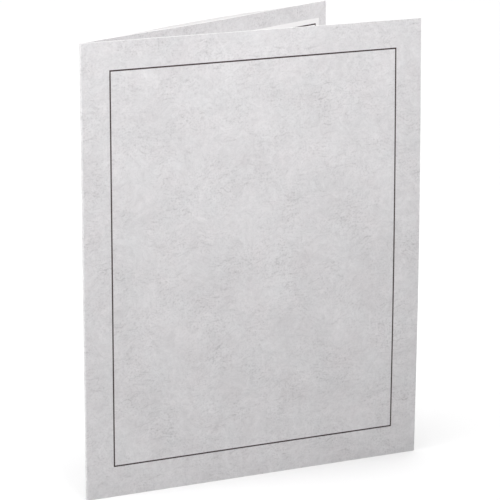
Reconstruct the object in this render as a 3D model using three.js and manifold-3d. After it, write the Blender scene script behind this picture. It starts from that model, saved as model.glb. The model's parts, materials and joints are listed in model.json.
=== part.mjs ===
// A card photo folder: a cover folded at the spine, with a window frame glued inside its back leaf.
// The back leaf lies along +X from the spine, the front leaf opens towards -Y, and the spine is vertical.
// Sizes are millimetres and degrees. The origin is at the middle of the base.

import * as THREE from 'three';
import { mergeVertices } from 'three/addons/utils/BufferGeometryUtils.js';
import Module from 'manifold-3d';

const wasm = await Module();
wasm.setup();

// The print that the folder holds, and the window that shows it
const PRINT_WIDTH = 203.2;
const PRINT_HEIGHT = 254.0;
const WINDOW_LAP = 6.35;
const SIDE_RAIL = 25.4;
const END_RAIL = 28.6;

// The card, the glue between the frame and the back leaf, and the slack of the fold when closed
const CARD_THICKNESS = 0.5;
const GLUE_LINE = 0.05;
const FOLD_SLACK = 0.45;

// The spine and the opening angle at rest
const OPEN_ANGLE = 23.5;
const HINGE_CLEARANCE = 0.1;
const FRAME_TO_SPINE = 0.6;
const FOLD_SIDES = 24;

// Bows of the card: the cover's free edge outwards, and the pocket's two sheets apart at its open top
const COVER_BOW = 2.2;
const COVER_BOW_POWER = 3;
const BACK_BOW = 5.2;
const FRAME_BOW = 2.9;
const POCKET_FLAT_HEIGHT = 90;
const SPINE_GLUE_STRIP = 13;
const OUTER_GLUE_STRIP = 17;

// The front cover's keyline, measured from the cover's edges to the line's outer side
const COVER_LINE_SPINE_MARGIN = 18.35;
const COVER_LINE_OUTER_MARGIN = 18.5;
const COVER_LINE_TOP_MARGIN = 18.3;
const COVER_LINE_BOTTOM_MARGIN = 20.1;
const LINE_WIDTH = 0.8;

// The window frame's white field and keyline
const WHITE_SIDE_MARGIN = 7.6;
const WHITE_END_MARGIN = 11.1;
const FRAME_LINE_INSET = 3.4;

// Thickness of a printed layer, and the gap that keeps it off what it is printed on
const INK_THICKNESS = 0.05;
const INK_GAP = 0.03;

// Steps of the grid that bends each sheet
const STEPS_ACROSS = 18;
const STEPS_UP = 12;

// Worked out from the above
const WINDOW_WIDTH = PRINT_WIDTH - 2 * WINDOW_LAP;
const WINDOW_HEIGHT = PRINT_HEIGHT - 2 * WINDOW_LAP;
const LEAF_WIDTH = WINDOW_WIDTH + 2 * SIDE_RAIL;
const LEAF_HEIGHT = WINDOW_HEIGHT + 2 * END_RAIL;
const CLOSED_THICKNESS = 3 * CARD_THICKNESS + GLUE_LINE + FOLD_SLACK;
const FOLD_RADIUS = CLOSED_THICKNESS / 2;
const BACK_INNER_FACE = FOLD_RADIUS - CARD_THICKNESS;
const FRAME_BACK_FACE = BACK_INNER_FACE - GLUE_LINE;
const FRAME_FRONT_FACE = FRAME_BACK_FACE - CARD_THICKNESS;
const CUTTER_REACH = 4 * (FOLD_RADIUS + COVER_BOW + BACK_BOW + FRAME_BOW);

// The finishes: marbled print on card, white print and a dark brown line
const MARBLED_CARD = { color: 0xd8d6d8, roughness: 0.75, metalness: 0 };
const WHITE_PRINT = { color: 0xf3f2f2, roughness: 0.7, metalness: 0 };
const DARK_LINE = { color: 0x463f3c, roughness: 0.5, metalness: 0 };

// How far the pocket's sheets are bowed at a point: a full cosine swell between the glued strips, which
// grows with the square of the height above the flat lower part
function pocketSwell(x, z) {
  const start = SPINE_GLUE_STRIP;
  const span = LEAF_WIDTH - SPINE_GLUE_STRIP - OUTER_GLUE_STRIP;
  const across = THREE.MathUtils.clamp((x - start) / span, 0, 1);
  const up = THREE.MathUtils.clamp((z - POCKET_FLAT_HEIGHT) / (LEAF_HEIGHT - POCKET_FLAT_HEIGHT), 0, 1);
  return (1 - Math.cos(2 * Math.PI * across)) / 2 * up * up;
}

// How far the cover is bowed at a point: most at the middle of the free edge, none at top, bottom and spine
function coverSwell(x, z) {
  return (x / LEAF_WIDTH) ** COVER_BOW_POWER * Math.sin(Math.PI * z / LEAF_HEIGHT);
}

// Each sheet's bend, as a shift along Y
const bendBack = (x, z) => BACK_BOW * pocketSwell(x, z);
const bendFrame = (x, z) => -FRAME_BOW * pocketSwell(x, z);
const bendCover = (x, z) => -COVER_BOW * coverSwell(x, z);

// The grid points along the rim of a plane with STEPS_ACROSS by STEPS_UP squares, counter-clockwise
function gridRim() {
  const at = (column, row) => row * (STEPS_ACROSS + 1) + column;
  const down = Array.from({ length: STEPS_UP }, (_, i) => at(0, i));
  const right = Array.from({ length: STEPS_ACROSS }, (_, i) => at(i, STEPS_UP));
  const up = Array.from({ length: STEPS_UP }, (_, i) => at(STEPS_ACROSS, STEPS_UP - i));
  const left = Array.from({ length: STEPS_ACROSS }, (_, i) => at(STEPS_ACROSS - i, 0));
  return [...down, ...right, ...up, ...left];
}

// A sheet as large as a leaf, from its front face to its back face in Y, shifted along Y by its bend.
// Both faces are split along the same diagonals, so sheets with one bend stay parallel
function bentSheet(front, back, bend) {
  const plane = new THREE.PlaneGeometry(LEAF_WIDTH, LEAF_HEIGHT, STEPS_ACROSS, STEPS_UP);
  plane.rotateX(Math.PI / 2);
  plane.translate(LEAF_WIDTH / 2, 0, LEAF_HEIGHT / 2);
  const grid = plane.getAttribute('position');
  const points = [];
  for (const face of [front, back]) {
    for (let i = 0; i < grid.count; i += 1) {
      const x = grid.getX(i);
      const z = grid.getZ(i);
      points.push(x, face + bend(x, z), z);
    }
  }
  const frontFaces = [...plane.index.array];
  const backFaces = frontFaces.map((corner) => corner + grid.count).reverse();
  const rim = gridRim();
  const sides = rim.flatMap((a, i) => {
    const b = rim[(i + 1) % rim.length];
    return [b, a, a + grid.count, b, a + grid.count, b + grid.count];
  });
  return new wasm.Manifold(new wasm.Mesh({
    numProp: 3,
    vertProperties: new Float32Array(points),
    triVerts: new Uint32Array([...frontFaces, ...backFaces, ...sides]),
  }));
}

// A box through all the sheets, over a rectangle of the leaf
function prism({ x0, x1, z0, z1 }) {
  const geometry = new THREE.BoxGeometry(x1 - x0, 2 * CUTTER_REACH, z1 - z0);
  return toSolid(geometry.translate((x0 + x1) / 2, 0, (z0 + z1) / 2));
}

// A closed geometry as a solid that can be joined and cut
function toSolid(geometry) {
  geometry.deleteAttribute('normal');
  geometry.deleteAttribute('uv');
  const merged = mergeVertices(geometry);
  return new wasm.Manifold(new wasm.Mesh({
    numProp: 3,
    vertProperties: merged.getAttribute('position').array,
    triVerts: new Uint32Array(merged.index.array),
  }));
}

// A solid as a named mesh with a material of its own
function toMesh(name, solid, finish) {
  const { numProp, vertProperties, triVerts } = solid.getMesh();
  const geometry = new THREE.BufferGeometry();
  const points = new THREE.InterleavedBuffer(vertProperties, numProp);
  geometry.setAttribute('position', new THREE.InterleavedBufferAttribute(points, 3, 0));
  geometry.setIndex(new THREE.BufferAttribute(triVerts, 1));
  geometry.computeVertexNormals();
  const mesh = new THREE.Mesh(geometry, new THREE.MeshStandardMaterial(finish));
  mesh.name = name;
  return mesh;
}

// A rectangle drawn in by the same margin on all four sides
function inset(rectangle, margin) {
  return {
    x0: rectangle.x0 + margin,
    x1: rectangle.x1 - margin,
    z0: rectangle.z0 + margin,
    z1: rectangle.z1 - margin,
  };
}

const WINDOW = {
  x0: SIDE_RAIL,
  x1: LEAF_WIDTH - SIDE_RAIL,
  z0: END_RAIL,
  z1: LEAF_HEIGHT - END_RAIL,
};
const WHITE_FIELD = {
  x0: WHITE_SIDE_MARGIN,
  x1: LEAF_WIDTH - WHITE_SIDE_MARGIN,
  z0: WHITE_END_MARGIN,
  z1: LEAF_HEIGHT - WHITE_END_MARGIN,
};
const COVER_LINE = {
  x0: COVER_LINE_SPINE_MARGIN,
  x1: LEAF_WIDTH - COVER_LINE_OUTER_MARGIN,
  z0: COVER_LINE_BOTTOM_MARGIN,
  z1: LEAF_HEIGHT - COVER_LINE_TOP_MARGIN,
};

// A sheet without the strip beside the spine, up to where it starts
function clearOfSpine(sheet, start) {
  const strip = { x0: -CUTTER_REACH, x1: start, z0: -CUTTER_REACH, z1: LEAF_HEIGHT + CUTTER_REACH };
  return sheet.subtract(prism(strip));
}

// The back leaf, with the rounded fold of the spine along its edge
function backCover() {
  const leaf = bentSheet(BACK_INNER_FACE, FOLD_RADIUS, bendBack);
  const fold = new THREE.CylinderGeometry(FOLD_RADIUS, FOLD_RADIUS, LEAF_HEIGHT, FOLD_SIDES);
  fold.rotateX(Math.PI / 2);
  fold.translate(0, 0, LEAF_HEIGHT / 2);
  return toMesh('back_cover', leaf.add(toSolid(fold)), MARBLED_CARD);
}

// The sheet with the window, glued in front of the back leaf and clear of the fold
function windowFrame() {
  const sheet = bentSheet(FRAME_FRONT_FACE, FRAME_BACK_FACE, bendFrame);
  const trimmed = clearOfSpine(sheet, FOLD_RADIUS + FRAME_TO_SPINE);
  return toMesh('window_frame', trimmed.subtract(prism(WINDOW)), MARBLED_CARD);
}

// The front leaf, which starts just clear of the fold so that it can turn round it
function frontCover() {
  const sheet = bentSheet(-FOLD_RADIUS, CARD_THICKNESS - FOLD_RADIUS, bendCover);
  return toMesh('front_cover', clearOfSpine(sheet, FOLD_RADIUS + HINGE_CLEARANCE), MARBLED_CARD);
}

// A printed band in front of a face: a thin bent layer, cut to the band between two rectangles
function printedBand(name, face, bend, outer, inner, finish) {
  const layer = bentSheet(face - INK_GAP - INK_THICKNESS, face - INK_GAP, bend);
  return toMesh(name, layer.intersect(prism(outer).subtract(prism(inner))), finish);
}

// The white field round the window, and the keyline printed over it
function whiteBorder() {
  return printedBand('frame_white_border', FRAME_FRONT_FACE, bendFrame, WHITE_FIELD, WINDOW, WHITE_PRINT);
}

function frameKeyline() {
  const borderFace = FRAME_FRONT_FACE - INK_GAP - INK_THICKNESS;
  const outer = inset(WHITE_FIELD, FRAME_LINE_INSET);
  return printedBand('frame_keyline', borderFace, bendFrame, outer, inset(outer, LINE_WIDTH), DARK_LINE);
}

// The keyline printed on the front leaf's outer face
function coverKeyline() {
  const inner = inset(COVER_LINE, LINE_WIDTH);
  return printedBand('cover_keyline', -FOLD_RADIUS, bendCover, COVER_LINE, inner, DARK_LINE);
}

const backLeaf = new THREE.Group();
backLeaf.add(backCover(), windowFrame(), whiteBorder(), frameKeyline());

const frontLeaf = new THREE.Group();
frontLeaf.add(frontCover(), coverKeyline());
frontLeaf.rotation.z = -THREE.MathUtils.degToRad(OPEN_ANGLE);

// The whole folder, moved so that the middle of its base is the origin
const folder = new THREE.Group();
folder.add(backLeaf, frontLeaf);
folder.updateMatrixWorld(true);
const bounds = new THREE.Box3().setFromObject(folder, true);
const middle = bounds.getCenter(new THREE.Vector3());
folder.position.set(-middle.x, -middle.y, -bounds.min.z);

export default folder;
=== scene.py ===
"""A marbled card photo folder that stands open like a book, with a window frame glued inside its back leaf.

Lengths are metres. The back leaf lies along +X from the spine, the front leaf opens towards -Y.
"""

import json
import math

import bpy
import numpy as np
from mathutils import Matrix, Vector


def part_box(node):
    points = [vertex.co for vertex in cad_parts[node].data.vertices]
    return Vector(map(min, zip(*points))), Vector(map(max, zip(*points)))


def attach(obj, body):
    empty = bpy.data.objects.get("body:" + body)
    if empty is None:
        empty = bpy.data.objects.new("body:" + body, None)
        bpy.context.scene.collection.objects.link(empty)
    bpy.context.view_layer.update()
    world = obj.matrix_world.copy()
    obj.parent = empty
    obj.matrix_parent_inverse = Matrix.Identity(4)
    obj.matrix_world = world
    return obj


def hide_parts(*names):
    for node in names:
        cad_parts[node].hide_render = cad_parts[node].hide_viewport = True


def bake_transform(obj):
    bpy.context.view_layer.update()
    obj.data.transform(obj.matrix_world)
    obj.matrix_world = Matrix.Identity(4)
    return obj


MM = 0.001

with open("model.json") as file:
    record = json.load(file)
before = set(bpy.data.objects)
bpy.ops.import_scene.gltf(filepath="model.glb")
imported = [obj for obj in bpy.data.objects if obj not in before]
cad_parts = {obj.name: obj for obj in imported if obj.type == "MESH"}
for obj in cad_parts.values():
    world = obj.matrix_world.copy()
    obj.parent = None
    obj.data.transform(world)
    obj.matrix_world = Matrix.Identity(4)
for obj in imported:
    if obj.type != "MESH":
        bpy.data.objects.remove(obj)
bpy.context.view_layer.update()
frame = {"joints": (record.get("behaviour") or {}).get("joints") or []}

# The folder's place and size, from the frame
hinge = frame["joints"][0]
back_low, back_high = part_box("back_cover")
AXIS = np.array(hinge["pos_m"])
OPEN_ANGLE = math.radians(180 - hinge["range_deg"][1])
LEAF_WIDTH = back_high.x - AXIS[0]
LEAF_HEIGHT = back_high.z
FOLD_RADIUS = AXIS[0] - back_low.x
FOLD_LENGTH = FOLD_RADIUS * (math.pi - OPEN_ANGLE)

# The card, and how far to either side of the fold's axis its turn is shared between the leaves
CARD = 0.5 * MM
GLUE_LINE = 0.05 * MM
FRAME_TO_SPINE = 0.6 * MM
CUT_ROUNDING = 0.07 * MM
CUT_SUPPORT = 0.12 * MM

# Bows of the card
COVER_BOW = 2.2 * MM
COVER_BOW_POWER = 3
BACK_BOW = 5.2 * MM
FRAME_BOW = 2.9 * MM
POCKET_FLAT_HEIGHT = 90 * MM
SPINE_GLUE_STRIP = 13 * MM
OUTER_GLUE_STRIP = 17 * MM

# Window and print: margins from the spine's axis, the free edge, the bottom and the top
WINDOW_MARGINS = (25.4 * MM, 25.4 * MM, 28.6 * MM, 28.6 * MM)
WHITE_MARGINS = (7.6 * MM, 7.6 * MM, 11.1 * MM, 11.1 * MM)
COVER_LINE_MARGINS = (18.35 * MM, 18.5 * MM, 20.1 * MM, 18.3 * MM)
FRAME_LINE_INSET = 3.4 * MM
LINE_WIDTH = 0.96 * MM

# How far ink stands proud of the card and reaches into it, and how far inside its rims its next points lie
INK_PROUD = 0.012 * MM
INK_SUNK = 0.02 * MM
INK_SUPPORT = 0.05 * MM

# How finely the meshes are divided
QUARTER_POINTS = 4
HEIGHT_POINTS = 100
WIDTH_POINTS = 90
FOLD_POINTS = 14
RIM_STEPS = 80
SHEET_POINTS_ACROSS = 14
BORDER_POINTS_ACROSS = 10
LINE_POINTS_ACROSS = 2

# A sheet's finishes, as places in its list of materials
PRINTED = 0
LINED = 1
CUT = 2

# The photograph's camera: its axis passes beside and above the foot of the spine
PHOTO_PIXELS = 500
FOCAL_PIXELS = 2655.5
SENSOR_WIDTH = 36.0
CAMERA_AZIMUTH = -49.455
CAMERA_ELEVATION = 13.705
CAMERA_ROLL = 0.070
CAMERA_DISTANCE = 1716.6 * MM
CAMERA_CLIP_END = 50
AIM_RIGHT = 105.13 * MM
AIM_UP = 161.79 * MM

# Colours of the marbled print, and how strongly its pattern shows
MARBLE_DARK = (0.455, 0.441, 0.449, 1)
MARBLE_LIGHT = (1.0, 0.987, 0.995, 1)
MARBLE_CONTRAST = 1.97
COOL_TINT = (0.985, 1.0, 1.005, 1)
WARM_TINT = (1.01, 0.993, 1.0, 1)
TINT_CONTRAST = 1.6
FRAME_PRINT_SHIFT = (0.7, 0.4)
NOISE_MIDDLE = 0.5

# Marbling: features per metre, detail and roughness of each noise
WARP_NOISE = (24.0, 3.0, 0.6)
CLOUD_NOISE = (26.0, 4.0, 0.72)
MOTTLE_NOISE = (230.0, 3.0, 0.8)
PATCH_NOISE = (38.0, 3.0, 0.6)
SPECK_NOISE = (720.0, 1.0, 0.5)
STREAK_NOISE = (1.0, 2.0, 0.6)
VEIN_NOISE = (24.0, 3.0, 0.6)
VEIN_BREAK_NOISE = (90.0, 2.0, 0.5)
TINT_NOISE = (45.0, 3.0, 0.7)

# Marbling: the level that a noise has to pass to show, and its gain above that
PATCH_LEVEL = (0.40, 4.0)
SPECK_LEVEL = (0.50, 1.0)
STREAK_LEVEL = (0.56, 1.6)
VEIN_BREAK_LEVEL = (0.52, 6.0)

# Marbling: the weight of each pattern, and the reach and slant of some
WARP_REACH = 0.03
CLOUD_WEIGHT = 0.20
MOTTLE_WEIGHT = 0.24
SPECK_WEIGHT = 0.5
STREAK_WEIGHT = 0.45
STREAK_SLANT = -0.5
STREAK_STRETCH = (110.0, 620.0, 1.0)
MARKS_OFF_PATCHES = 0.25
VEIN_WEIGHT = 0.05
VEIN_HALF_WIDTH = 0.010

# Rubbed edges and cracks up the fold, where the card's white shows through; the fold's cracks are also a
# painted highlight along the fold strip
CARD_WHITE = (0.93, 0.918, 0.92, 1)
RUB_REACH = 0.6 * MM
RUB_NOISE = (150.0, 4.0, 0.75)
RUB_LEVEL = (0.38, 3.0)
# Cracks up the fold: cracked print, and also a painted highlight on the fold strip
CRACK_AND_HIGHLIGHT_REACH = 1.5 * MM
CRACK_AND_HIGHLIGHT_STRETCH = (1800.0, 220.0, 1.0)
CRACK_AND_HIGHLIGHT_NOISE = (1.0, 3.0, 0.7)
CRACK_AND_HIGHLIGHT_LEVEL = (0.42, 4.0)
# How strongly the card's white shows, where the edges are rubbed and as the fold's painted highlight
RUBBED_AND_FOLD_HIGHLIGHT_SHARE = 0.6
NO_FOLD = -1.0

# The paper's tooth: grains per metre, and detail, roughness and weight of the fine grain and the broad one
PRINT_GRAIN = 2600.0
INK_GRAIN = 3200.0
FINE_DETAIL = (3.0, 0.6)
FINE_WEIGHT = 0.6
BROAD_TO_FINE = 0.12
BROAD_DETAIL = (4.0, 0.5)
BROAD_WEIGHT = 0.4

# Roughness without grain and what the grain adds, specular level, and bump strength and depth
PRINT_ROUGHNESS = (0.5, 0.2)
PRINT_SPECULAR = 0.35
PRINT_RELIEF = (0.25, 0.05 * MM)
PAPER_ROUGHNESS = (0.72, 0.15)
PAPER_SPECULAR = 0.25
PAPER_RELIEF_DEPTH = 0.05 * MM
INK_ROUGHNESS = 0.5
INK_RELIEF = (0.15, 0.03 * MM)

# White papers: darker and lighter white, grain per metre, and bump strength
WHITE_CARD = ((0.77, 0.758, 0.76, 1), (0.865, 0.853, 0.855, 1), 1400.0, 0.3)
CUT_EDGE = ((0.88, 0.868, 0.87, 1), (0.95, 0.938, 0.94, 1), 5200.0, 0.5)
WHITE_PRINT = ((0.875, 0.862, 0.866, 1), (0.915, 0.902, 0.906, 1), 2600.0, 0.15)

# White papers: clouding of the pulp, and sparse darker fibres
PULP_NOISE = (70.0, 5.0, 0.75)
PULP_WEIGHT = 1.25
FIBRE_SLANT = 0.9
FIBRE_STRETCH = (260.0, 1900.0, 1.0)
FIBRE_NOISE = (1.0, 1.0, 0.5)
FIBRE_LEVEL = (0.72, 3.0)
FIBRE_SHARE = 0.35
FIBRE_SHADE = 0.62

# The keyline's brownish black
INK_DARK = (0.032, 0.018, 0.018, 1)
INK_LIGHT = (0.062, 0.038, 0.037, 1)

# Floor and sky
FLOOR_REACH = 12.0
FLOOR_SEEN = (0.9, 0.9, 0.9, 1)
FLOOR_BOUNCE = (0.6, 0.6, 0.6, 1)
FLOOR_ROUGHNESS = 0.9
FLOOR_SPECULAR = 0.1
SKY_SEEN = 1.0
SKY_AT_HORIZON = 0.1
SKY_OVERHEAD = 2.7
SKY_GATHERING = 3.0

# Small lights: place, target, size in metres, power in watts, and spread in degrees
LIGHTS = {
    "front": ((-0.55, -1.15, 0.95), (-0.05, 0.0, 0.44), 0.5, 0.525, 32),
    "edge": ((0.45, -0.22, 0.85), (0.0, 0.05, 0.3), 0.3, 0.09, 30),
    "foot": ((-0.45, -0.85, 0.12), (-0.06, 0.0, -0.1), 0.2, 0.01, 12),
    "side": ((-0.97, 0.40, 0.35), (-0.12, 0.05, 0.15), 0.4, 3.5, 180),
}


def pocket_swell(x, z):
    """Share of the pocket's bow: a full cosine swell between the glued strips, times the square of the
    height above the flat lower part."""
    across = np.clip((x - SPINE_GLUE_STRIP) / (LEAF_WIDTH - SPINE_GLUE_STRIP - OUTER_GLUE_STRIP), 0, 1)
    up = np.clip((z - POCKET_FLAT_HEIGHT) / (LEAF_HEIGHT - POCKET_FLAT_HEIGHT), 0, 1)
    return (1 - np.cos(2 * np.pi * across)) / 2 * up**2


def cover_swell(x, z):
    """Share of the cover's bow: the cube of the way to the free edge, times a half sine up the leaf."""
    return np.clip(x / LEAF_WIDTH, 0, 1) ** COVER_BOW_POWER * np.sin(np.pi * np.clip(z / LEAF_HEIGHT, 0, 1))


def on_back_leaf(x, y, z):
    """Points of the back leaf's own frame, spine axis at zero, in the row frame."""
    return np.stack([AXIS[0] + x, AXIS[1] + y, z], axis=-1)


def on_front_leaf(x, y, z):
    """Points of the front leaf's own frame, turned about the spine by the opening angle, in the row frame."""
    c, s = math.cos(OPEN_ANGLE), math.sin(OPEN_ANGLE)
    return np.stack([AXIS[0] + c * x + s * y, AXIS[1] - s * x + c * y, z], axis=-1)


def front_face_point(x, z, depth):
    """The front leaf, from its outer face (depth 0) inwards, bent by its share of the cover's bow."""
    return on_front_leaf(x, depth - FOLD_RADIUS - COVER_BOW * cover_swell(x, z), z)


def frame_sheet_point(x, z, depth):
    """The window frame's sheet, from its printed face (depth 0) back to the back leaf, bent towards the
    cover by its share of the pocket's bow."""
    face = FOLD_RADIUS - CARD - GLUE_LINE - CARD
    return on_back_leaf(x, face + depth - FRAME_BOW * pocket_swell(x, z), z)


def cover_card_point(path, z, depth):
    """The cover card, from its outer face (depth 0) inwards. Path is negative along the back leaf, runs round
    the fold as an arc of FOLD_RADIUS, and then counts along the front leaf."""
    x_back = -path
    back = on_back_leaf(x_back, FOLD_RADIUS - depth + BACK_BOW * pocket_swell(x_back, z), z)
    front = front_face_point(path - FOLD_LENGTH, z, depth)
    turn = math.pi / 2 + path / FOLD_RADIUS
    reach = FOLD_RADIUS - depth
    fold = on_back_leaf(reach * np.cos(turn), reach * np.sin(turn), z)
    past_fold = np.where((path > FOLD_LENGTH)[..., None], front, fold)
    return np.where((path < 0)[..., None], back, past_fold)


def section_loop(low, high, thickness, rounding, points):
    """A sheet's section as a closed loop: up its outer face, over one rounded cut edge, down its inner face
    and under the other. Returns each point's centre (place, depth), its unit direction from that centre, and
    where each of the loop's six stretches ends."""
    between = np.linspace(low + CUT_SUPPORT, high - CUT_SUPPORT, points)
    face = np.concatenate([[low + rounding], between, [high - rounding]])
    under = thickness - rounding
    quarter = np.linspace(0, math.pi / 2, QUARTER_POINTS)[1:]
    turned = quarter - quarter[0]
    low_edge = np.full(len(quarter), low + rounding)
    high_edge = np.full(len(quarter), high - rounding)
    stretches = [
        (face, rounding, 0.0, -1.0),
        (high_edge, rounding, np.sin(quarter), -np.cos(quarter)),
        (high_edge, under, np.cos(turned), np.sin(turned)),
        (face[::-1], under, 0.0, 1.0),
        (low_edge, under, -np.sin(quarter), np.cos(quarter)),
        (low_edge, rounding, -np.cos(turned), -np.sin(turned)),
    ]
    centres = []
    ways = []
    for places, depth, way_place, way_depth in stretches:
        zeros = np.zeros(len(places))
        centres.append(np.stack([places, zeros + depth], axis=1))
        ways.append(np.stack([zeros + way_place, zeros + way_depth], axis=1))
    parts = np.cumsum([len(stretch) for stretch in centres])
    return np.concatenate(centres), np.concatenate(ways), parts


def ink_loop(width, thickness, points):
    """An ink film's section as a closed loop: along its face, with points close to both rims that keep its
    shading flat, and straight back underneath."""
    between = np.linspace(INK_SUPPORT, width - INK_SUPPORT, points)
    places = np.concatenate([[0], between, [width]])
    face = np.stack([places, np.zeros(len(places))], axis=1)
    under = np.stack([places[::-1], np.full(len(places), thickness)], axis=1)
    return np.concatenate([face, under])


def lattice(rows, columns, closed_rows):
    """Quads of a lattice of points, closed round its columns and, if asked, round its rows too."""
    last = rows if closed_rows else rows - 1
    i, j = np.meshgrid(np.arange(last), np.arange(columns), indexing="ij")
    i2, j2 = (i + 1) % rows, (j + 1) % columns
    quads = np.stack([i * columns + j, i2 * columns + j, i2 * columns + j2, i * columns + j2], axis=-1)
    return quads.reshape(-1, 4)


def make_mesh(name, points, quads, uv, material_index, materials):
    """A mesh object from arrays. The quads are turned so that the closed surface faces out."""
    corners = points[quads]
    volume = np.einsum("ij,ij->", corners[:, 0], np.cross(corners[:, 1], corners[:, 2]))
    volume += np.einsum("ij,ij->", corners[:, 0], np.cross(corners[:, 2], corners[:, 3]))
    if volume < 0:
        quads = quads[:, ::-1]
    mesh = bpy.data.meshes.new(name)
    mesh.from_pydata(points.tolist(), [], quads.tolist())
    layer = mesh.uv_layers.new(name="sheet")
    layer.data.foreach_set("uv", uv[quads.ravel()].astype(np.float32).ravel())
    for material in materials:
        mesh.materials.append(material)
    mesh.polygons.foreach_set("material_index", material_index.astype(np.int32))
    mesh.polygons.foreach_set("use_smooth", np.ones(len(quads), bool))
    mesh.update()
    piece = bpy.data.objects.new(name, mesh)
    bpy.context.scene.collection.objects.link(piece)
    return piece


def cover_card(materials):
    """The cover card as one sheet: stations along the path times the section loop up the leaf. At the two
    free edges the section draws in along a quarter circle, and a strip closes the end."""
    centres, ways, parts = section_loop(0.0, LEAF_HEIGHT, CARD, CUT_ROUNDING, HEIGHT_POINTS)
    quarter = np.linspace(0, math.pi / 2, QUARTER_POINTS)
    end = LEAF_WIDTH - CUT_ROUNDING + CUT_ROUNDING * np.sin(quarter)
    leaf = np.linspace(0, LEAF_WIDTH - CUT_SUPPORT, WIDTH_POINTS)
    fold = np.linspace(0, FOLD_LENGTH, FOLD_POINTS)[1:-1]
    path = np.concatenate([-end[::-1], -leaf[::-1], fold, FOLD_LENGTH + leaf, FOLD_LENGTH + end])
    draw_in = np.zeros(len(path))
    draw_in[:QUARTER_POINTS] = CUT_ROUNDING * (1 - np.cos(quarter[::-1]))
    draw_in[-QUARTER_POINTS:] = CUT_ROUNDING * (1 - np.cos(quarter))
    place = centres[None] + (CUT_ROUNDING - draw_in)[:, None, None] * ways[None]
    z, depth = place[..., 0], place[..., 1]
    stations = np.broadcast_to(path[:, None], z.shape)
    points = cover_card_point(stations, z, depth).reshape(-1, 3)
    rows, columns = z.shape
    outer = np.arange(parts[0] - 1)
    inner = parts[3] - 1 - outer
    first_cap = np.stack([outer, outer + 1, inner - 1, inner], axis=1)
    last_cap = ((rows - 1) * columns + first_cap)[:, ::-1]
    quads = np.concatenate([lattice(rows, columns, False), first_cap, last_cap])
    rounded = QUARTER_POINTS - 1
    finish = np.full((rows - 1, columns), CUT)
    finish[rounded:-rounded, : parts[0] - 1] = PRINTED
    finish[rounded:-rounded, parts[2] : parts[3] - 1] = LINED
    material_index = np.concatenate([finish.ravel(), np.full(2 * len(first_cap), CUT)])
    uv = np.stack([stations.ravel(), z.ravel()], axis=1)
    return make_mesh("cover_card", points, quads, uv, material_index, materials)


def rectangle(margins):
    """Left, right, low and high of a rectangle inside the leaf, from its four margins."""
    return margins[0], LEAF_WIDTH - margins[1], margins[2], LEAF_HEIGHT - margins[3]


def inset(rect, margin):
    """A rectangle drawn in by the same margin on all four sides."""
    return rect[0] + margin, rect[1] - margin, rect[2] + margin, rect[3] - margin


def rim(rect):
    """Points round a rectangle, counter-clockwise from its lower left, with the same steps on each side."""
    x0, x1, z0, z1 = rect
    t = np.linspace(0, 1, RIM_STEPS, endpoint=False)
    still = np.zeros(RIM_STEPS)
    x = np.concatenate([x0 + (x1 - x0) * t, x1 + still, x1 + (x0 - x1) * t, x0 + still])
    z = np.concatenate([z0 + still, z0 + (z1 - z0) * t, z1 + still, z1 + (z0 - z1) * t])
    return np.stack([x, z], axis=1)


def ring_sheet(name, surface, outer, inner, depths, rounding, across, materials):
    """A flat ring between two rectangles, bent by its surface function: stations round the rim, mitred at the
    corners, times a loop from the inner rim to the outer one on the face and back underneath. Card has
    rounded cut edges, and ink, with no rounding, has plain ones."""
    start, end = rim(inner), rim(outer)
    width = min(inner[0] - outer[0], outer[1] - inner[1])
    top, bottom = depths
    if rounding:
        centres, ways, parts = section_loop(0.0, width, bottom - top, rounding, across)
        loop = centres + rounding * ways
    else:
        loop = ink_loop(width, bottom - top, across)
    share, depth = loop[:, 0] / width, loop[:, 1] + top
    flat = start[:, None] + (end - start)[:, None] * share[None, :, None]
    x, z = flat[..., 0], flat[..., 1]
    points = surface(x, z, np.broadcast_to(depth, x.shape)).reshape(-1, 3)
    rows, columns = x.shape
    finish = np.full((rows, columns), PRINTED)
    if rounding:
        finish[:, parts[0] - 1 :] = CUT
        finish[:, parts[2] : parts[3] - 1] = LINED
    uv = np.stack([x.ravel(), z.ravel()], axis=1)
    return make_mesh(name, points, lattice(rows, columns, True), uv, finish.ravel(), materials)


def node(tree, kind, inputs=None, **settings):
    """Adds a shader node, sets its properties, and sets or links its inputs by name or number."""
    made = tree.nodes.new(kind)
    for key, value in settings.items():
        setattr(made, key, value)
    for key, value in (inputs or {}).items():
        if isinstance(value, bpy.types.NodeSocket):
            tree.links.new(value, made.inputs[key])
        else:
            made.inputs[key].default_value = value
    return made


def new_group(name, inputs, outputs):
    """An empty shader node group with named sockets: (name, kind, default) in and (name, kind) out."""
    group = bpy.data.node_groups.new(name, "ShaderNodeTree")
    for label, kind, default in inputs:
        socket = group.interface.new_socket(name=label, in_out="INPUT", socket_type=kind)
        if default is not None:
            socket.default_value = default
    for label, kind in outputs:
        group.interface.new_socket(name=label, in_out="OUTPUT", socket_type=kind)
    source = group.nodes.new("NodeGroupInput")
    result = group.nodes.new("NodeGroupOutput")
    return group, source.outputs, result.inputs


def use_group(tree, group, inputs):
    """Places a node group in a tree, sets or links its inputs, and returns its outputs."""
    return node(tree, "ShaderNodeGroup", inputs, node_tree=group).outputs


def math_node(tree, operation, a, b=0.0, clamp=False):
    """The result of one arithmetic step."""
    return node(tree, "ShaderNodeMath", {0: a, 1: b}, operation=operation, use_clamp=clamp).outputs[0]


def vector_node(tree, operation, inputs):
    """The result of one step of vector arithmetic."""
    return node(tree, "ShaderNodeVectorMath", inputs, operation=operation).outputs[0]


def scaled(tree, value, gain, base):
    """A value times a gain, plus a base."""
    return node(tree, "ShaderNodeMath", {0: value, 1: gain, 2: base}, operation="MULTIPLY_ADD").outputs[0]


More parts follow.
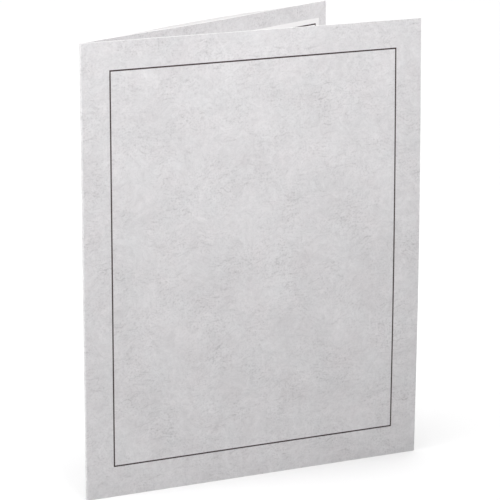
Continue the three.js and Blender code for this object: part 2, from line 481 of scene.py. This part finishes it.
def weighted_sum(tree, first, first_weight, second, second_weight):
    """Two values, each times its weight, added."""
    first = math_node(tree, "MULTIPLY", first, first_weight)
    second = math_node(tree, "MULTIPLY", second, second_weight)
    return math_node(tree, "ADD", first, second)


def above(tree, value, floor, gain):
    """How far a value stands above a floor, times a gain, held between 0 and 1."""
    return math_node(tree, "MULTIPLY", math_node(tree, "SUBTRACT", value, floor), gain, clamp=True)


def centred(tree, value, weight):
    """A noise's swing round its middle, times a weight."""
    return math_node(tree, "MULTIPLY", math_node(tree, "SUBTRACT", value, NOISE_MIDDLE), weight)


def closeness(tree, distance, reach):
    """1 where a distance is zero, falling evenly to 0 at its reach."""
    return math_node(tree, "SUBTRACT", 1.0, math_node(tree, "DIVIDE", distance, reach), clamp=True)


def mixed(tree, share, first, second, blend_type="MIX"):
    """Two colours blended by a share between 0 and 1."""
    inputs = {0: share, 6: first, 7: second}
    return node(tree, "ShaderNodeMix", inputs, data_type="RGBA", blend_type=blend_type).outputs[2]


def noise(tree, place, scale, detail, roughness):
    """Fractal noise round its middle at one size, in features per metre."""
    inputs = {"Vector": place, "Scale": scale, "Detail": detail, "Roughness": roughness}
    return node(tree, "ShaderNodeTexNoise", inputs, noise_dimensions="3D").outputs[0]


def stretched(tree, place, slant, stretch):
    """Places turned by a slant and then squeezed, so that a noise of size 1 draws long marks."""
    return node(tree, "ShaderNodeMapping", {0: place, "Rotation": (0, 0, slant), "Scale": stretch}).outputs[0]


def paper_tooth_group():
    """Fine fibre grain of uncoated and matt paper: a height for bump and a grey mask round 0.5."""
    group, given, result = new_group(
        "paper_tooth",
        [("Place", "NodeSocketVector", None), ("Grain", "NodeSocketFloat", PRINT_GRAIN)],
        [("Height", "NodeSocketFloat"), ("Mask", "NodeSocketFloat")],
    )
    fine = noise(group, given["Place"], given["Grain"], *FINE_DETAIL)
    coarser = math_node(group, "MULTIPLY", given["Grain"], BROAD_TO_FINE)
    broad = noise(group, given["Place"], coarser, *BROAD_DETAIL)
    both = weighted_sum(group, fine, FINE_WEIGHT, broad, BROAD_WEIGHT)
    group.links.new(both, result["Height"])
    group.links.new(both, result["Mask"])
    return group


def marble_group():
    """Parchment marbling in a sheet's own metres. Shade is soft clouds plus mottling, less dark specks and
    short slanting streaks that gather in patches, less thin veins where a warped noise crosses its middle."""
    group, given, result = new_group(
        "parchment_marble",
        [("Place", "NodeSocketVector", None)],
        [("Shade", "NodeSocketFloat"), ("Tint", "NodeSocketFloat")],
    )
    place = given["Place"]
    warp = noise(group, place, *WARP_NOISE).node.outputs["Color"]
    swing = vector_node(group, "SUBTRACT", {0: warp, 1: (NOISE_MIDDLE, NOISE_MIDDLE, NOISE_MIDDLE)})
    swing = vector_node(group, "SCALE", {0: swing, "Scale": WARP_REACH})
    bent = vector_node(group, "ADD", {0: place, 1: swing})

    clouds = centred(group, noise(group, bent, *CLOUD_NOISE), CLOUD_WEIGHT)
    mottle = centred(group, noise(group, bent, *MOTTLE_NOISE), MOTTLE_WEIGHT)
    specks = above(group, noise(group, place, *SPECK_NOISE), *SPECK_LEVEL)
    slant = stretched(group, bent, STREAK_SLANT, STREAK_STRETCH)
    streaks = above(group, noise(group, slant, *STREAK_NOISE), *STREAK_LEVEL)
    marks = weighted_sum(group, specks, SPECK_WEIGHT, streaks, STREAK_WEIGHT)
    patches = above(group, noise(group, place, *PATCH_NOISE), *PATCH_LEVEL)
    thick = scaled(group, patches, 1 - MARKS_OFF_PATCHES, MARKS_OFF_PATCHES)
    marks = math_node(group, "MULTIPLY", marks, thick)
    off_middle = math_node(group, "SUBTRACT", noise(group, bent, *VEIN_NOISE), NOISE_MIDDLE)
    line = closeness(group, math_node(group, "ABSOLUTE", off_middle), VEIN_HALF_WIDTH)
    broken = above(group, noise(group, place, *VEIN_BREAK_NOISE), *VEIN_BREAK_LEVEL)
    veins = math_node(group, "MULTIPLY", math_node(group, "MULTIPLY", line, broken), VEIN_WEIGHT)

    shade = math_node(group, "ADD", clouds, mottle)
    shade = math_node(group, "SUBTRACT", shade, marks)
    shade = math_node(group, "SUBTRACT", shade, veins)
    group.links.new(shade, result["Shade"])
    group.links.new(centred(group, noise(group, place, *TINT_NOISE), 1.0), result["Tint"])
    return group


def wear_and_fold_highlight_group():
    """Where the print turns to the card's white: a ragged rim along the sheet's four edges, where it has
    rubbed through, and fine cracks that run up the fold, which are cracked print and also a painted highlight
    along the fold strip.
    Edges and fold are given in the sheet's own metres."""
    group, given, result = new_group(
        "rubbed_edges",
        [
            ("Place", "NodeSocketVector", None),
            ("Left Edge", "NodeSocketFloat", 0.0),
            ("Right Edge", "NodeSocketFloat", 1.0),
            ("Top Edge", "NodeSocketFloat", 1.0),
            ("Reach", "NodeSocketFloat", RUB_REACH),
            ("Fold Middle", "NodeSocketFloat", NO_FOLD),
            ("Fold Reach", "NodeSocketFloat", CRACK_AND_HIGHLIGHT_REACH),
        ],
        [("Mask", "NodeSocketFloat")],
    )
    parts = node(group, "ShaderNodeSeparateXYZ", {0: given["Place"]}).outputs
    from_left = math_node(group, "SUBTRACT", parts["X"], given["Left Edge"])
    from_right = math_node(group, "SUBTRACT", given["Right Edge"], parts["X"])
    from_top = math_node(group, "SUBTRACT", given["Top Edge"], parts["Y"])
    sideways = math_node(group, "MINIMUM", from_left, from_right)
    upright = math_node(group, "MINIMUM", parts["Y"], from_top)
    distance = math_node(group, "MINIMUM", sideways, upright)
    ragged = above(group, noise(group, given["Place"], *RUB_NOISE), *RUB_LEVEL)
    ragged = math_node(group, "MULTIPLY", ragged, given["Reach"])
    inside = math_node(group, "SUBTRACT", ragged, distance)
    rim_mask = math_node(group, "DIVIDE", inside, given["Reach"], clamp=True)

    # Cracks up the fold: cracked print that is also a painted highlight along the fold strip
    off_fold = math_node(group, "ABSOLUTE", math_node(group, "SUBTRACT", parts["X"], given["Fold Middle"]))
    near_fold = closeness(group, off_fold, given["Fold Reach"])
    along = stretched(group, given["Place"], 0, CRACK_AND_HIGHLIGHT_STRETCH)
    cracks_and_highlight = above(group, noise(group, along, *CRACK_AND_HIGHLIGHT_NOISE), *CRACK_AND_HIGHLIGHT_LEVEL)
    fold_cracks_and_highlight = math_node(group, "MULTIPLY", near_fold, cracks_and_highlight)
    group.links.new(math_node(group, "MAXIMUM", rim_mask, fold_cracks_and_highlight), result["Mask"])
    return group


def new_material(name):
    """A material with only a Principled BSDF, and its tree and shader node."""
    material = bpy.data.materials.new(name)
    material.use_nodes = True
    tree = material.node_tree
    tree.nodes.clear()
    shader = tree.nodes.new("ShaderNodeBsdfPrincipled")
    output = tree.nodes.new("ShaderNodeOutputMaterial")
    tree.links.new(shader.outputs[0], output.inputs[0])
    return material, tree, shader


def sheet_place(tree):
    """The sheet's own coordinates in metres: along the card, and up."""
    return node(tree, "ShaderNodeUVMap", uv_map="sheet").outputs[0]


def bump(tree, shader, height, strength, distance):
    """Feeds a height through a bump node to the shader's normal."""
    made = node(tree, "ShaderNodeBump", {"Strength": strength, "Distance": distance, "Height": height})
    tree.links.new(made.outputs[0], shader.inputs["Normal"])


def matt_surface(tree, shader, grain, roughness, specular, relief):
    """Matt paper: a roughness that rises with the grain, a low specular level, and the grain as bumps."""
    lowest, rise = roughness
    tree.links.new(scaled(tree, grain["Mask"], rise, lowest), shader.inputs["Roughness"])
    shader.inputs["Specular IOR Level"].default_value = specular
    bump(tree, shader, grain["Height"], *relief)


def marbled_print(name, tooth, marble, wear_and_fold_highlight, shift, edges_and_fold):
    """Pale grey marbled print on matt card, rubbed white at its edges, with cracks up the fold that are also
    a painted highlight there.
    Shift moves the pattern on the sheet, and the last argument names the sheet's edges and fold."""
    material, tree, shader = new_material(name)
    place = sheet_place(tree)
    moved = vector_node(tree, "ADD", {0: place, 1: (*shift, 0.0)})
    pattern = use_group(tree, marble, {"Place": moved})
    grain = use_group(tree, tooth, {"Place": place, "Grain": PRINT_GRAIN})
    value = scaled(tree, pattern["Shade"], MARBLE_CONTRAST, NOISE_MIDDLE)
    ramp = node(tree, "ShaderNodeValToRGB", {0: value})
    ramp.color_ramp.elements[0].color = MARBLE_DARK
    ramp.color_ramp.elements[1].color = MARBLE_LIGHT
    warm = scaled(tree, pattern["Tint"], TINT_CONTRAST, NOISE_MIDDLE)
    tint = mixed(tree, warm, COOL_TINT, WARM_TINT)
    colour = mixed(tree, 1.0, ramp.outputs[0], tint, "MULTIPLY")
    # The card's white where the edges are rubbed, and along the fold as cracked print and painted highlight
    rubbed_and_fold_highlight = use_group(tree, wear_and_fold_highlight, {"Place": place, **edges_and_fold})["Mask"]
    rubbed_and_fold_highlight = math_node(tree, "MULTIPLY", rubbed_and_fold_highlight, RUBBED_AND_FOLD_HIGHLIGHT_SHARE)
    tree.links.new(mixed(tree, rubbed_and_fold_highlight, colour, CARD_WHITE), shader.inputs["Base Color"])
    matt_surface(tree, shader, grain, PRINT_ROUGHNESS, PRINT_SPECULAR, PRINT_RELIEF)
    return material


def plain_paper(name, tooth, low, high, grain_scale, strength):
    """Plain white paper: two close whites mixed by the fibre grain and by the soft clouding of the pulp, with
    sparse tiny darker fibres."""
    material, tree, shader = new_material(name)
    place = sheet_place(tree)
    grain = use_group(tree, tooth, {"Place": place, "Grain": grain_scale})
    pulp = centred(tree, noise(tree, place, *PULP_NOISE), PULP_WEIGHT)
    white = mixed(tree, math_node(tree, "ADD", grain["Mask"], pulp, clamp=True), low, high)
    strand = stretched(tree, place, FIBRE_SLANT, FIBRE_STRETCH)
    fibres = above(tree, noise(tree, strand, *FIBRE_NOISE), *FIBRE_LEVEL)
    fibres = math_node(tree, "MULTIPLY", fibres, FIBRE_SHARE)
    flecked = tuple(FIBRE_SHADE * channel for channel in low[:3]) + (1,)
    tree.links.new(mixed(tree, fibres, white, flecked), shader.inputs["Base Color"])
    matt_surface(tree, shader, grain, PAPER_ROUGHNESS, PAPER_SPECULAR, (strength, PAPER_RELIEF_DEPTH))
    return material


def dark_print(tooth):
    """The brownish black keyline, mixed by the grain from two close shades, slightly satin."""
    material, tree, shader = new_material("dark_line")
    grain = use_group(tree, tooth, {"Place": sheet_place(tree), "Grain": INK_GRAIN})
    tree.links.new(mixed(tree, grain["Mask"], INK_DARK, INK_LIGHT), shader.inputs["Base Color"])
    shader.inputs["Roughness"].default_value = INK_ROUGHNESS
    bump(tree, shader, grain["Height"], *INK_RELIEF)
    return material


def camera_turn():
    """The camera's rotation: looking down its back direction, then rolled about its own axis."""
    a, e = math.radians(CAMERA_AZIMUTH), math.radians(CAMERA_ELEVATION)
    back = Vector((math.sin(a) * math.cos(e), -math.cos(a) * math.cos(e), math.sin(e)))
    level = (-back).to_track_quat("-Z", "Y").to_matrix()
    return level @ Matrix.Rotation(math.radians(CAMERA_ROLL), 3, "Z")


def make_camera():
    """A long lens at the photograph's angle. Its axis passes AIM_RIGHT beside and AIM_UP above the foot of
    the spine, measured in the picture plane through it."""
    turn = camera_turn()
    right, up, back = (turn @ Vector(v) for v in ((1, 0, 0), (0, 1, 0), (0, 0, 1)))
    data = bpy.data.cameras.new("camera")
    data.sensor_width = SENSOR_WIDTH
    data.lens = SENSOR_WIDTH * FOCAL_PIXELS / PHOTO_PIXELS
    data.clip_end = CAMERA_CLIP_END
    camera = bpy.data.objects.new("camera", data)
    aim = Vector(AXIS) + AIM_RIGHT * right + AIM_UP * up
    camera.matrix_world = Matrix.Translation(aim + CAMERA_DISTANCE * back) @ turn.to_4x4()
    bpy.context.scene.collection.objects.link(camera)
    bpy.context.scene.camera = camera


def area_light(name, place, target, size, power, spread):
    """A square soft light that points at a target. Its spread narrows the beam, in degrees."""
    data = bpy.data.lights.new(name, "AREA")
    data.size = size
    data.energy = power
    data.spread = math.radians(spread)
    lamp = bpy.data.objects.new(name, data)
    way = Vector(target) - Vector(place)
    lamp.matrix_world = Matrix.Translation(place) @ way.to_track_quat("-Z", "Y").to_matrix().to_4x4()
    bpy.context.scene.collection.objects.link(lamp)


def make_floor():
    """A wide white floor. The camera sees it brighter than the light that it throws back on the folder."""
    points = np.array([[-1, -1, 0], [1, -1, 0], [1, 1, 0], [-1, 1, 0]]) * FLOOR_REACH
    mesh = bpy.data.meshes.new("floor")
    mesh.from_pydata(points.tolist(), [], [(0, 1, 2, 3)])
    floor = bpy.data.objects.new("floor", mesh)
    bpy.context.scene.collection.objects.link(floor)
    material, tree, shader = new_material("floor")
    seen = node(tree, "ShaderNodeLightPath").outputs["Is Camera Ray"]
    tree.links.new(mixed(tree, seen, FLOOR_BOUNCE, FLOOR_SEEN), shader.inputs["Base Color"])
    shader.inputs["Roughness"].default_value = FLOOR_ROUGHNESS
    shader.inputs["Specular IOR Level"].default_value = FLOOR_SPECULAR
    mesh.materials.append(material)


def make_sky():
    """A soft sky: its light grows from the horizon to overhead with a power of the height, and the camera
    sees it as plain white."""
    world = bpy.data.worlds.new("surround")
    world.use_nodes = True
    tree = world.node_tree
    backdrop = tree.nodes["Background"]
    backdrop.inputs["Color"].default_value = (1, 1, 1, 1)
    way = node(tree, "ShaderNodeTexCoord").outputs["Generated"]
    height = node(tree, "ShaderNodeSeparateXYZ", {0: way}).outputs["Z"]
    steep = math_node(tree, "POWER", math_node(tree, "MAXIMUM", height, 0.0), SKY_GATHERING)
    levels = {"Value": steep, "To Min": SKY_AT_HORIZON, "To Max": SKY_OVERHEAD}
    glow = node(tree, "ShaderNodeMapRange", levels)
    seen = node(tree, "ShaderNodeLightPath").outputs["Is Camera Ray"]
    strength = node(tree, "ShaderNodeMix", {0: seen, 2: glow.outputs[0], 3: SKY_SEEN}).outputs[0]
    tree.links.new(strength, backdrop.inputs["Strength"])
    bpy.context.scene.world = world


def make_stage():
    """The floor, the sky and four small soft lights: one on the cover's upper part, one on the top edges from
    the right, one on the cover's foot, and one along the spine from the left."""
    make_floor()
    make_sky()
    for name, light in LIGHTS.items():
        area_light(name, *light)
    bpy.context.scene.view_settings.view_transform = "Standard"


make_camera()
make_stage()

# Materials
tooth = paper_tooth_group()
marble = marble_group()
wear_and_fold_highlight = wear_and_fold_highlight_group()
# The cover's edges, for its rubbed white, and its fold, for cracks that are also a painted highlight
cover_edges_and_fold = {
    "Left Edge": -LEAF_WIDTH,
    "Right Edge": FOLD_LENGTH + LEAF_WIDTH,
    "Top Edge": LEAF_HEIGHT,
    "Fold Middle": FOLD_LENGTH / 2,
}
frame_worn = {"Left Edge": FOLD_RADIUS + FRAME_TO_SPINE, "Right Edge": LEAF_WIDTH, "Top Edge": LEAF_HEIGHT}
cover_print = marbled_print("cover_print", tooth, marble, wear_and_fold_highlight, (0.0, 0.0), cover_edges_and_fold)
frame_print = marbled_print("frame_print", tooth, marble, wear_and_fold_highlight, FRAME_PRINT_SHIFT, frame_worn)
lining = plain_paper("white_card", tooth, *WHITE_CARD)
cut_edge = plain_paper("cut_edge", tooth, *CUT_EDGE)
white_ink = plain_paper("white_print", tooth, *WHITE_PRINT)
dark_ink = dark_print(tooth)

# The cover card, which bends at the fold
card = cover_card([cover_print, lining, cut_edge])
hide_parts("front_cover", "back_cover")
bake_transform(card)

# The window frame's sheet, its print, and the cover's line
sheet_rect = (FOLD_RADIUS + FRAME_TO_SPINE, LEAF_WIDTH, 0.0, LEAF_HEIGHT)
window_rect = rectangle(WINDOW_MARGINS)
white_rect = rectangle(WHITE_MARGINS)
frame_line_rect = inset(white_rect, FRAME_LINE_INSET)
frame_line_inner = inset(frame_line_rect, LINE_WIDTH)
cover_line_rect = rectangle(COVER_LINE_MARGINS)
cover_line_inner = inset(cover_line_rect, LINE_WIDTH)
sheet_depths = (0.0, CARD)
ink_depths = (-INK_PROUD, INK_SUNK)
ink_on_ink_depths = (-2 * INK_PROUD, INK_SUNK)

frame_sheet = ring_sheet("window_frame_sheet", frame_sheet_point, sheet_rect, window_rect, sheet_depths,
                         CUT_ROUNDING, SHEET_POINTS_ACROSS, [frame_print, lining, cut_edge])
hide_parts("window_frame")
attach(frame_sheet, "back_leaf")

white_band = ring_sheet("white_border", frame_sheet_point, white_rect, window_rect, ink_depths,
                        0.0, BORDER_POINTS_ACROSS, [white_ink])
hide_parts("frame_white_border")
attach(white_band, "back_leaf")

frame_line = ring_sheet("frame_line", frame_sheet_point, frame_line_rect, frame_line_inner, ink_on_ink_depths,
                        0.0, LINE_POINTS_ACROSS, [dark_ink])
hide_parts("frame_keyline")
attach(frame_line, "back_leaf")

cover_line = ring_sheet("cover_line", front_face_point, cover_line_rect, cover_line_inner, ink_depths,
                        0.0, LINE_POINTS_ACROSS, [dark_ink])
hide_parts("cover_keyline")
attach(cover_line, "front_leaf")

bpy.context.view_layer.update()
